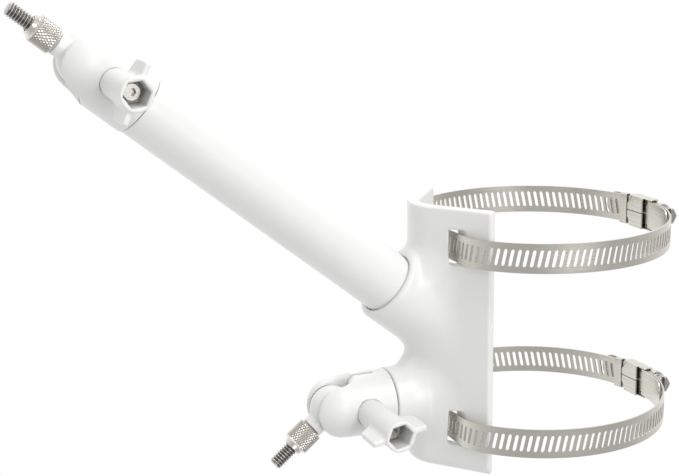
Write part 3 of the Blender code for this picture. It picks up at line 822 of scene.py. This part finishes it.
@dataclass(frozen=True)
class ClampHead:
    """One split head: housing, ball stem with its stud and lock nut, and the wing knob across it.

    Heights run from the seam along the head's own axis.
    """

    end: End
    seat: Place
    bolt: float
    stem_lean: float
    wing_angle: float
    radius: float = 13.9
    seam: float = 0.4
    bolt_to_ball: float = 12.4
    ball_to_root: float = 7.3
    ball_to_tip: float = 11.3
    slot: float = 10.6
    chamfer: float = 2.2
    slit: float = 2.4
    base: float = 5.0
    ball_radius: float = 9.7
    neck_radius: float = 4.8
    neck_end: float = 12.4
    stud_radius: float = 3.15
    stud_end: float = 35.0
    thread_pitch: float = 1.27
    thread_depth: float = 0.66
    nut_low: float = 12.7
    nut_high: float = 22.7
    nut_radius: float = 5.85
    collar_end: float = 24.6
    collar_radius: float = 4.3
    knurl_teeth: int = 30
    knurl_length: float = 2.0
    knurl_depth: float = 0.36
    knob_seat: float = 12.6
    knob_end: float = 45.3
    knob_radius: tuple[float, float] = (6.0, 6.7)
    recess: float = 9.4
    recess_floor: float = 33.0
    wing_span: float = 12.4
    wing_start: float = 25.3
    wing_end: float = 44.3
    wing_slope: float = 0.66
    wing_thickness: float = 2.4
    bolt_bore: float = 2.3
    swivel_bore: float = 2.8
    swivel_pocket: float = 4.7
    nut_across: float = 7.6
    nut_seat: float = 8.6
    play: float = 0.3

    @property
    def ball(self) -> float:
        """Height of the ball's centre."""
        return self.bolt + self.bolt_to_ball

    def housing(self) -> Shape:
        """Mesh the housing: a round-ended cylinder with the stem's slot, the ball's pocket and the bores."""
        tip = self.ball + self.ball_to_tip
        dome = tip - self.radius
        root = self.ball - self.ball_to_root
        half = self.slot / 2

        def whole(p: np.ndarray) -> np.ndarray:
            """The housing's field."""
            x, y, z = p.T
            side = np.hypot(x, y) - self.radius
            cap = np.sqrt(x * x + y * y + (z - dome) ** 2) - self.radius
            body = rounded(np.where(z > dome, cap, side), self.seam - z, 0.45)
            jaws = np.where(z > root + half, np.abs(y), np.hypot(y, z - root - half)) - half
            body = chamfer_cut(body, jaws, self.chamfer, 0.6)
            at_ball = np.sqrt(x * x + y * y + (z - self.ball) ** 2) - self.ball_radius - self.play
            slit = slab_field(p, (-20, -self.slit / 2, self.base + 1.9), (20, self.slit / 2, root + 3), 0.5)
            across = np.stack([x, z - self.bolt, -y], axis=1)
            spot_face = rod_field(across, self.knob_radius[0] + 0.06, self.knob_seat - self.play, 20, 0.1)
            pocket = np.maximum(hexagon_field(across, self.nut_across, 30), across[:, 2] + self.nut_seat)
            return cuts(body, (at_ball, 0.3), (slit, 0.5),
                        (rod_field(p, self.swivel_pocket, self.base + self.seam, self.ball), 0.4),
                        (rod_field(p, self.swivel_bore, -2, self.base + 1), 0.3),
                        (rod_field(across, self.bolt_bore, -20, 20), 0.4),
                        (spot_face, 0.2), (pocket, 0.5))

        low = np.array([-self.radius, -self.radius, self.seam])
        high = np.array([self.radius, self.radius, tip])
        return mesh_of(whole, low, high, 0.42).at(self.seat)

    @property
    def stem_place(self) -> Place:
        """The stem's frame: its origin at the ball's centre."""
        return self.seat.moved(z=self.ball).leaning(self.stem_lean)

    def stem(self) -> Shape:
        """Turn the stem: the ball, a fillet, the neck with a rounded shoulder, and the stud's tapped hole."""
        fillet = 1.5
        reach = self.ball_radius + fillet
        meet = math.degrees(math.acos((self.neck_radius + fillet) / reach))
        ball_cos, ball_sin = quarter(56, -89, meet)
        at = reach * math.sin(math.radians(meet))
        turn_cos, turn_sin = quarter(8, 180 + meet, 180)
        cos, sin = quarter(4, 0, 90)
        edge, bore = 0.6, self.stud_radius + self.play
        rows = profile_rows(
            (self.ball_radius * ball_cos, self.ball_radius * ball_sin),
            (self.neck_radius + fillet + fillet * turn_cos, at + fillet * turn_sin),
            (self.neck_radius - edge + edge * cos, self.neck_end - edge + edge * sin),
            (bore + 0.3, self.neck_end), (bore, self.neck_end - 0.3), (bore, 2.0),
        )
        return turned(rows, 96).at(self.stem_place)

    def stud(self) -> Shape:
        """Turn the stud: a 60 degree thread, whose depth is a flattened wave of height less turns."""
        low, tip = 2.3, 1.0
        height = np.linspace(low, self.stud_end, round((self.stud_end - low) / self.thread_pitch * 14))
        limit = np.minimum(self.stud_radius, self.stud_radius - tip + (self.stud_end - height) * 1.2)
        rows = np.stack([limit, height, np.clip((self.stud_end - height) / 0.8, 0, 1)], axis=1)

        def thread(angle: np.ndarray, z: np.ndarray) -> np.ndarray:
            """Depth below the crest."""
            turns = (z / self.thread_pitch - angle / (2 * math.pi)) % 1.0
            return self.thread_depth * np.clip((np.abs(2 * turns - 1) - 0.12) / 0.72, 0, 1)

        return turned(rows, 48, relief=thread).at(self.stem_place)

    def lock_nut(self) -> Shape:
        """Turn the lock nut: a bore, a plain collar and diamond knurling between two bevels."""
        bore, bevel = self.stud_radius + self.play, 0.55
        low, high = self.nut_low + bevel, self.nut_high - bevel
        knurled = profile_rows((self.nut_radius, np.linspace(low, high, 74)))
        knurled[:, 2] = np.clip(np.minimum(knurled[:, 1] - low, high - knurled[:, 1]) / 0.25, 0.35, 1)
        foot = self.nut_radius - bevel
        rows = np.vstack([
            profile_rows((bore, self.nut_low), (foot - 0.2, self.nut_low)), knurled,
            profile_rows((foot - 0.2, self.nut_high), (self.collar_radius + 0.15, self.nut_high),
                         (self.collar_radius, self.nut_high + 0.15),
                         (self.collar_radius, self.collar_end - 0.3),
                         (self.collar_radius - 0.3, self.collar_end), (bore, self.collar_end)),
        ])

        def knurl(angle: np.ndarray, z: np.ndarray) -> np.ndarray:
            """Depth of two crossing sets of V grooves, right-handed and left-handed."""
            turns = self.knurl_teeth * angle / (2 * math.pi)
            ways = [np.abs(((turns + s * z / self.knurl_length) % 1.0) * 2 - 1) for s in (1, -1)]
            return self.knurl_depth * np.maximum(*ways)

        return turned(rows, 240, ring=True, relief=knurl).at(self.stem_place)

    @property
    def knob_place(self) -> Place:
        """The knob's frame: Z along the clamp bolt, out of the near side."""
        x, y, z = self.seat.axes.T
        return Place(self.seat.moved(z=self.bolt).origin, np.stack([x, z, -y], axis=1))

    def knob(self) -> Shape:
        """Mesh the knob: a tapering barrel, two wings sloped at the seat's side, and a hexagonal recess."""
        low, high = self.knob_radius
        taper = (high - low) / (self.knob_end - self.knob_seat)
        angle = math.radians(self.wing_angle)
        root = 4.2              # the slope of the wing's shoulder starts this far out
        cosine = 0.83           # of that slope's angle

        def whole(p: np.ndarray) -> np.ndarray:
            """The knob's field."""
            x, y, z = p.T
            barrel = rod_field(p, low, self.knob_seat, self.knob_end, 0.7, taper)
            out = np.abs(x * math.cos(angle) + y * math.sin(angle))
            flat = np.abs(-x * math.sin(angle) + y * math.cos(angle)) - self.wing_thickness / 2
            shoulder = ((out - root) * self.wing_slope - (z - self.wing_start)) * cosine
            wing = rounded(rounded(out - self.wing_span, z - self.wing_end, 1.0), shoulder, 1.6)
            body = round_union(barrel, rounded(wing, flat, 0.7), 1.6)
            hexagon = hexagon_field(p, self.recess, self.wing_angle)
            body = chamfer_cut(body, np.maximum(hexagon, self.recess_floor - z), 0.6, 0.25)
            return round_cut(body, rod_field(p, self.bolt_bore, 0, 60), 0.3)

        span = self.wing_span
        return mesh_of(whole, np.array([-span, -span, self.knob_seat]), np.array([span, span, self.knob_end]),
                       0.34).at(self.knob_place)

    def build(self, shop: Workshop) -> None:
        """Make every piece of the head."""
        end = self.end.value
        head, stem = f"{end}_head", f"{end}_stem"
        shop.fit(f"{end}_clamp_housing", self.housing(), head, Finish.CASTING, f"{end}_head_housing")
        shop.fit(f"{end}_ball_and_neck", self.stem(), stem, Finish.CASTING, f"{end}_ball_stem", 40)
        shop.fit(f"{end}_threaded_stud", self.stud(), stem, Finish.ZINC, f"{end}_stud", 50)
        shop.fit(f"{end}_knurled_nut", self.lock_nut(), f"{end}_nut", Finish.NICKEL, f"{end}_lock_nut", 35)
        shop.fit(f"{end}_winged_knob", self.knob(), f"{end}_knob", Finish.KNOB, f"{end}_wing_knob")


# ---------------------------------------------------------------- worm-drive bands

@dataclass(frozen=True)
class BandClamp:
    """One worm-drive band: perforated strip, strap, stamped housing and worm screw.

    In the loop's frame X points from its axis to the housing. Angles run round the loop from there.
    """

    end: End
    height: float
    clamp_angle: float = 3.0
    width: float = 12.7
    thickness: float = 0.7
    chord_x: float = -49.6
    inner_layer: float = 57.5
    outer_layer: float = 58.5
    tongue: float = 30.0
    tail: float = 24.0
    plain_end: float = 14.6
    notch: tuple[float, float, float] = (25.4, 26.4, 4.6)
    wrap: tuple[float, float] = (-2.3, 9.3)
    pitch: float = 3.0
    slot_width: float = 1.45
    slot_length: float = 7.4
    slant: float = 0.20
    strap_span: tuple[float, float] = (9.8, 14.0)
    play: float = 0.3
    housing_length: float = 15.0
    housing_half_width: float = 7.4
    flap_x: tuple[float, float] = (55.5, 56.35)
    channel_top: float = 59.9
    saddle_x: tuple[float, float] = (56.4, 60.9)
    side_wall: float = 0.8
    end_wall: float = 1.1
    collar_bore: float = 2.7
    worm_axis: float = 63.4
    worm_radius: float = 3.4
    worm_hex: float = 7.0

    @property
    def loop(self) -> Place:
        """The loop's frame."""
        angle = math.radians(self.clamp_angle)
        side = np.array([-math.sin(angle), math.cos(angle), 0])
        return Place.along(np.array([0, 0, self.height]), np.array([0, 0, 1.0]), side)

    def path(self) -> tuple[np.ndarray, np.ndarray, np.ndarray]:
        """Trace the strip's middle line round the loop and a little over.

        The radius grows from the inner layer to the outer one, rises past the housing, and is limited to the
        straight chord through the saddle by a sum of high powers.

        Returns:
            Length run at each point, the points in plan, and the outward normals.
        """
        angle = np.linspace(-self.tongue, 360 + self.tail, 2400)
        radius = self.inner_layer + (self.outer_layer - self.inner_layer) * np.clip((angle - 40) / 290, 0, 1)
        radius = radius + 0.1 * np.maximum(angle - 358, 0)
        facing = np.cos(np.radians(angle + self.clamp_angle))
        chord = self.chord_x / np.where(facing < -0.3, facing, -1.0)
        power = 40.0
        limited = radius * (1 + (radius / chord) ** power) ** (-1 / power)
        radius = np.where(facing < -0.3, limited, radius)
        turn = np.radians(angle)
        points = np.stack([radius * np.cos(turn), radius * np.sin(turn)], axis=1)
        step = np.diff(points, axis=0)
        run = np.append(0, np.cumsum(np.linalg.norm(step, axis=1)))
        heading = np.gradient(points, axis=0)
        heading /= np.linalg.norm(heading, axis=1)[:, None]
        return run, points, np.stack([heading[:, 1], -heading[:, 0]], axis=1)

    def layout(self, total: float, plain_end: float) -> tuple[np.ndarray, np.ndarray]:
        """Lay the strip out flat, as quads between (length, height) points.

        Rows of seven points cross the plain stretches, and narrow at the notch and round both ends. Each slot
        sits in a cell of its own, whose sixteen outer points face sixteen points round the slot.

        Args:
            total: Length of the strip.
            plain_end: Where the slots begin.

        Returns:
            The points, and the quads between them.
        """
        half = self.width / 2
        shares = np.array([-1, -0.6, -0.3, 0, 0.3, 0.6, 1])
        run_in = np.array([0, 0.1, 0.5, 1.3, 2.6, 4.4, half])
        tail = 6.5              # plain length at the strip's outer end
        count = round((total - tail - plain_end) / self.pitch)
        pitch = (total - tail - plain_end) / count
        narrow, wide_again, neck = self.notch
        start = np.append(run_in, np.arange(half + 3, plain_end - 1, 3.0))
        start = np.sort(np.append(start, [narrow, narrow + 0.05, wide_again - 0.05, wide_again]))
        rows_of = [np.append(start, plain_end), total - np.append(tail, run_in[::-1] / half * tail)[1:]]
        points, quads = [], []
        for stations in rows_of:
            near_end = np.minimum(np.minimum(stations, total - stations) / half, 1)
            wide = half * np.maximum(np.sqrt(1 - (1 - near_end) ** 2), 0.22)
            wide = np.where((stations > narrow) & (stations < wide_again), neck, wide)
            cloud = np.stack(np.broadcast_arrays(stations[:, None], wide[:, None] * shares), axis=-1)
            base = sum(map(len, points))
            points.append(cloud.reshape(-1, 2))
            i = np.arange(len(stations) - 1)[:, None] * 7 + np.arange(6)
            quads.append((np.stack([i, i + 7, i + 8, i + 1], axis=-1) + base).reshape(-1, 4))
        side = np.stack([np.full(7, pitch / 2), half * shares], axis=1)
        outer = np.vstack([side, [[0, half]], side[::-1] * [-1, 1], [[0, -half]]])
        w, reach = self.slot_width / 2, self.slot_length / 2
        bend = w * math.sqrt(0.5)
        hole_w = np.array([bend, w, w, w, w, w, bend])
        hole_l = np.array([-1, -0.92, -0.5, 0, 0.5, 0.92, 1]) * (reach - w)
        hole_l[[0, -1]] += np.array([-bend, bend])
        hole = np.stack([hole_w, hole_l], axis=1)
        inner = np.vstack([hole, [[0, reach]], hole[::-1] * [-1, 1], [[0, -reach]]])
        centres = plain_end + pitch * (np.arange(count) + 0.5)
        cell = np.vstack([outer, inner])
        base = sum(map(len, points))
        points.append((cell[None] + np.stack([centres, 0 * centres], axis=1)[:, None]).reshape(-1, 2))
        k = np.arange(16)
        ring = np.stack([k, (k + 1) % 16, (k + 1) % 16 + 16, k + 16], axis=1)
        quads.append((ring[None] + np.arange(count)[:, None, None] * 32 + base).reshape(-1, 4))
        flat, faces = np.vstack(points), np.vstack(quads)
        _, first, index = np.unique(np.round(flat, 3), axis=0, return_index=True, return_inverse=True)
        return flat[first], index.ravel()[faces]

    def strip(self) -> Shape:
        """Bend the flat layout round the loop, thicken it, and wall in every open edge."""
        run, line, normal = self.path()
        plain_end = math.radians(self.tongue + self.plain_end) * self.inner_layer
        flat, quads = self.layout(run[-1], plain_end)
        length, up = flat.T
        lean = self.slant * np.clip((length - plain_end + 20) / 20, 0, 1)
        lean = lean * np.clip((run[-1] - length) / 12, 0, 1)
        along = np.clip(length + up * lean, 0, run[-1])
        middle = np.stack([np.interp(along, run, line[:, k]) for k in (0, 1)], axis=1)
        out = np.stack([np.interp(along, run, normal[:, k]) for k in (0, 1)], axis=1)
        out /= np.linalg.norm(out, axis=1)[:, None]
        layers = [np.column_stack([middle + out * t, up]) for t in (self.thickness / 2, -self.thickness / 2)]
        strips = [np.column_stack([along, up, np.full(len(up), t)]) for t in (0.0, self.thickness)]
        count = len(flat)
        pairs = np.concatenate([quads[:, [k, (k + 1) % 4]] for k in range(4)])
        keys = pairs[:, 0] * count + pairs[:, 1]
        lone = pairs[~np.isin(keys, pairs[:, 1] * count + pairs[:, 0])]
        walls = np.stack([lone[:, 1], lone[:, 0], lone[:, 0] + count, lone[:, 1] + count], axis=1)
        faces = [np.vstack([quads, quads[:, ::-1] + count, walls])]
        return Shape(np.vstack(layers), faces, {"strip": np.vstack(strips)}).at(self.loop)

    def strap(self) -> Shape:
        """Bend the strap round the strip beside the housing: a C section with a seam on the outer side."""
        wall, gap = 0.5, 0.25
        reach = self.thickness / 2 + self.play
        inner, outer = self.inner_layer - reach, self.inner_layer + reach
        edge = self.width / 2 + self.play
        cos, sin = quarter(4, 0, 90)

        def section(grow: float, corner: float) -> np.ndarray:
            """Points (radius, height) from one side of the seam round to the other, on a rounded oblong."""
            low, high, top = inner - grow, outer + grow, edge + grow
            middle = top - corner
            half = [np.stack([np.full(6, high), np.linspace(gap / 2, middle, 6)], axis=1),
                    np.stack([high - corner + corner * cos[1:], middle + corner * sin[1:]], axis=1),
                    np.stack([low + corner - corner * sin, middle + corner * cos], axis=1),
                    np.array([[low, top / 2], [low, 0.0]])]
            upper = np.vstack(half)
            return np.vstack([upper, upper[-2::-1] * [1, -1]])

        shell = np.vstack([section(wall, 0.55), section(0.0, 0.1)[::-1]])
        turns = 9
        around = len(shell)
        angle = np.repeat(np.radians(np.linspace(*self.strap_span, turns)), around)
        radius, height = np.tile(shell, (turns, 1)).T
        points = np.column_stack([radius * np.cos(angle), radius * np.sin(angle), height])
        k = np.arange(around // 2 - 1)
        cap = np.stack([k, k + 1, around - 2 - k, around - 1 - k], axis=1)
        faces = [grid_quads(turns, around), cap, cap[:, ::-1] + around * (turns - 1)]
        strip = np.column_stack([self.inner_layer * angle, height, 0 * height])
        return Shape(points, faces, {"strip": strip}).at(self.loop)

    def housing(self) -> Shape:
        """Mesh the stamped housing: a saddle round both layers of strip under an arch for the worm."""
        half = self.housing_length / 2
        arch = self.worm_radius + 1.5
        wide = self.housing_half_width
        mid_layer = (self.inner_layer + self.outer_layer) / 2
        start, end = self.wrap

        def whole(p: np.ndarray) -> np.ndarray:
            """The housing's field: saddle and arch, channel, the two flaps below it, and the hollows."""
            x, y, z = p.T
            lying = np.stack([x - self.worm_axis, z, -y], axis=1)
            body = slab_field(p, (self.saddle_x[0], -half, -wide), (self.saddle_x[1], half, wide), 0.6)
            post = slab_field(p, (mid_layer, -half, -arch), (self.worm_axis, half, arch), 0.3)
            body = round_union(body, post, 0.8)
            body = round_union(body, rod_field(lying, arch, -half, half, 0.4), 0.3)
            edge = self.width / 2 + self.play
            channel = slab_field(p, (50, -20, -edge), (self.channel_top, 20, edge), 0.3)
            body = round_cut(body, channel, 0.3)
            flaps = slab_field(p, (self.flap_x[0], start, -wide), (self.flap_x[1], end, wide), 0.35)
            corner = (y - end + 0.9 * (np.abs(z) - 3.0)) * 0.74
            seam = np.maximum(np.abs(z) - 0.16, x - self.flap_x[1] - 0.65)
            flaps = round_cut(rounded(flaps, corner, 0.2), seam, 0.15)
            across = np.abs(np.abs(z) - wide + self.side_wall / 2) - self.side_wall / 2
            sides = rounded(across, np.abs(x - mid_layer) - 2.4, 0.2)
            sides = np.maximum(sides, np.maximum(start - y, y - half))
            body = np.minimum(body, np.minimum(flaps, sides))
            hollow = rod_field(lying, self.worm_radius + 0.5, -half - 2, half - self.end_wall, 0.2)
            window = slab_field(p, (59.0, 1.2 - half, -3.0), (62.5, half - self.end_wall, 3.0), 0.4)
            return cuts(body, (hollow, 0.3), (window, 0.3), (rod_field(lying, self.collar_bore, 0, 20), 0.2))

        low = np.array([self.flap_x[0], -half, -wide])
        high = np.array([self.worm_axis + arch, end, wide])
        made = mesh_of(whole, low, high, 0.3)
        made.values["strip"] = made.points[:, [1, 2, 0]] * [1.0, 0.5, 0.5]
        return made.at(self.loop)

    def worm(self) -> Shape:
        """Mesh the worm screw: a coarse thread, a neck, a flange and a slotted, bevelled hexagon head."""
        half = self.housing_length / 2
        top = half + 5.6
        flange = 4.1

        def whole(p: np.ndarray) -> np.ndarray:
            """The screw's field, with Z along it."""
            x, y, z = p.T
            radius = np.hypot(x, y)
            turns = (z / self.pitch - np.arctan2(y, x) / (2 * math.pi)) % 1.0
            depth = np.clip((np.abs(2 * turns - 1) - 0.15) / 0.6, 0, 1)
            worm = rounded((radius - self.worm_radius + depth) * 0.75, np.abs(z) - half + 1.5, 0.2)
            body = np.minimum(worm, rod_field(p, 2.2, -half + 1.5, half + 1))
            body = round_union(body, rod_field(p, flange, half + 0.3, half + 1.2, 0.2), 0.2)
            head = rounded(hexagon_field(p, self.worm_hex), np.abs(z - half - 3.0) - 2.6, 0.25)
            head = np.maximum(head, (radius - self.worm_hex / 2 - 0.1 + (z - top) * 1.5) * 0.55)
            slot = slab_field(p, (-0.7, -8, half + 3.8), (0.7, 8, half + 9), 0.05)
            return round_cut(round_union(body, head, 0.2), slot, 0.25)

        low, high = np.array([-flange, -flange, 1.5 - half]), np.array([flange, flange, top])
        x, y, z = self.loop.axes.T
        place = Place(self.loop.moved(x=self.worm_axis).origin, np.stack([x, z, -y], axis=1))
        return mesh_of(whole, low, high, 0.22).at(place)

    def build(self, shop: Workshop) -> None:
        """Make every piece of the band clamp."""
        end = self.end.value
        body = "bracket"
        shop.fit(f"{end}_perforated_band", self.strip(), body, Finish.STRIP, f"{end}_band", 30)
        shop.fit(f"{end}_folded_strap", self.strap(), body, Finish.STRIP, f"{end}_band_strap", 40)
        shop.fit(f"{end}_stamped_housing", self.housing(), body, Finish.STRIP, f"{end}_worm_housing")
        shop.fit(f"{end}_slotted_worm", self.worm(), f"{end}_worm", Finish.SCREW, f"{end}_worm_screw")


# ---------------------------------------------------------------- studio

@dataclass(frozen=True)
class Studio:
    """Soft lights, a white surround and the camera."""

    camera_place: tuple[float, float, float] = (-0.34221, -0.59794, 0.2057)
    azimuth: float = -22.43
    elevation: float = 13.815
    roll: float = -0.706
    lens: float = 83.28

    def surround(self) -> None:
        """White to the eye. As a light it is brighter beyond the bracket and dimmer behind the camera."""
        world = bpy.data.worlds.new("surround")
        world.use_nodes = True
        bpy.context.scene.world = world
        tree = world.node_tree
        tree.nodes.clear()
        way = add_node(tree, "ShaderNodeTexCoord").outputs["Generated"]
        parts = add_node(tree, "ShaderNodeSeparateXYZ", {"Vector": way})
        depth = add_node(tree, "ShaderNodeMapRange", {"Value": parts.outputs["Y"], "From Min": -0.6,
                                                      "From Max": 0.7, "To Min": 0.60, "To Max": 1.15})
        white = linear("#FFFFFF")
        glow = add_node(tree, "ShaderNodeBackground", {"Color": white, "Strength": depth.outputs[0]})
        seen = add_node(tree, "ShaderNodeBackground", {"Color": white, "Strength": 1.0})
        camera = add_node(tree, "ShaderNodeLightPath").outputs["Is Camera Ray"]
        both = add_node(tree, "ShaderNodeMixShader", {0: camera, 1: glow.outputs[0], 2: seen.outputs[0]})
        add_node(tree, "ShaderNodeOutputWorld", {"Surface": both.outputs[0]})

    def light(self, name: str, spot: tuple, aim: Vector, size: float, power: float) -> None:
        """Hang a square soft light.

        Args:
            name: Its name.
            spot: Its place, in metres.
            aim: The point that it faces.
            size: Its width in metres.
            power: Its power in watts.
        """
        lamp = bpy.data.lights.new(name, "AREA")
        lamp.size = size
        lamp.energy = power
        holder = bpy.data.objects.new(name, lamp)
        holder.location = spot
        holder.rotation_euler = (Vector(spot) - aim).to_track_quat("Z", "Y").to_euler()
        bpy.context.scene.collection.objects.link(holder)

    def camera(self) -> None:
        """The camera, turned by its azimuth, elevation and roll."""
        a, e, r = (math.radians(x) for x in (self.azimuth, self.elevation, self.roll))
        right = Vector((math.cos(a), math.sin(a), 0))
        back = Vector((math.sin(a) * math.cos(e), -math.cos(a) * math.cos(e), math.sin(e)))
        up = back.cross(right)
        across = right * math.cos(r) + up * math.sin(r)
        upward = up * math.cos(r) - right * math.sin(r)
        lens = bpy.data.cameras.new("camera")
        lens.lens = self.lens
        holder = bpy.data.objects.new("camera", lens)
        turn = Matrix((across, upward, back)).transposed().to_4x4()
        holder.matrix_world = Matrix.Translation(self.camera_place) @ turn
        bpy.context.scene.collection.objects.link(holder)
        bpy.context.scene.camera = holder

    def build(self, low: Vector, high: Vector) -> None:
        """Set up the studio.

        Args:
            low: Lowest corner of the bracket's box.
            high: Its highest corner.
        """
        bpy.context.scene.view_settings.view_transform = "Standard"
        aim = (low + high) / 2
        self.surround()
        self.light("key", (0.5, -1.2, 1.5), aim, 0.9, 15.0)
        self.light("overhead", (0.4, 0.6, 1.6), aim, 1.2, 8.0)
        self.light("fill", (0.1, -1.8, 0.4), aim, 1.0, 12.0)
        self.camera()


def main() -> None:
    """Load the frame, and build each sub-assembly round it."""
    logging.basicConfig(level=logging.INFO, format="%(name)s: %(message)s")
    for thing in list(bpy.data.objects):
        bpy.data.objects.remove(thing)
    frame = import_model()
    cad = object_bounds()
    joints = {joint["name"]: joint for joint in frame["joints"]}
    across = np.array([0.0, 1.0, 0.0])

    def seat(end: End) -> Place:
        """Read the frame of a head's seat from its swivel joint.

        Args:
            end: The bracket's end.

        Returns:
            The frame, whose Z points away from the pole.
        """
        joint = joints[f"{end.value}_head_swivel"]
        axis = np.array(joint["axis"])
        return Place.along(np.array(joint["pos_m"]) / MM, -np.sign(axis[0]) * axis, across)

    upper, lower = seat(End.UPPER), seat(End.LOWER)
    tube = ArmTube(upper.moved(z=-ArmTube.length))
    shop = Workshop()
    saddle = Saddle(tube.place, lower)
    shop.fit("cast_saddle", saddle.shape(), "bracket", Finish.CASTING, "saddle_bracket")
    shop.fit("coated_arm_tube", tube.shape(), "bracket", Finish.TUBE, "arm_tube", 40)
    for head in (ClampHead(End.UPPER, upper, bolt=16.2, stem_lean=0.0, wing_angle=14.9),
                 ClampHead(End.LOWER, lower, bolt=13.4, stem_lean=-38.9, wing_angle=-80.0)):
        head.build(shop)
    for band in (BandClamp(End.UPPER, 42.0), BandClamp(End.LOWER, -39.0)):
        band.build(shop)
    kept = {"swivel_washer": Finish.WASHER, "swivel_screw": Finish.ZINC, "clamp_bolt": Finish.SCREW,
            "captive_nut": Finish.ZINC, "plug": Finish.ZINC, "base_washer": Finish.ZINC,
            "base_screw": Finish.ZINC}
    for name, node in frame["nodes"].items():
        if not node.hide_render:
            shop.dress(name, node, next(finish for key, finish in kept.items() if key in name))
    Studio().build(*cad)


if __name__ == "__main__":
    main()
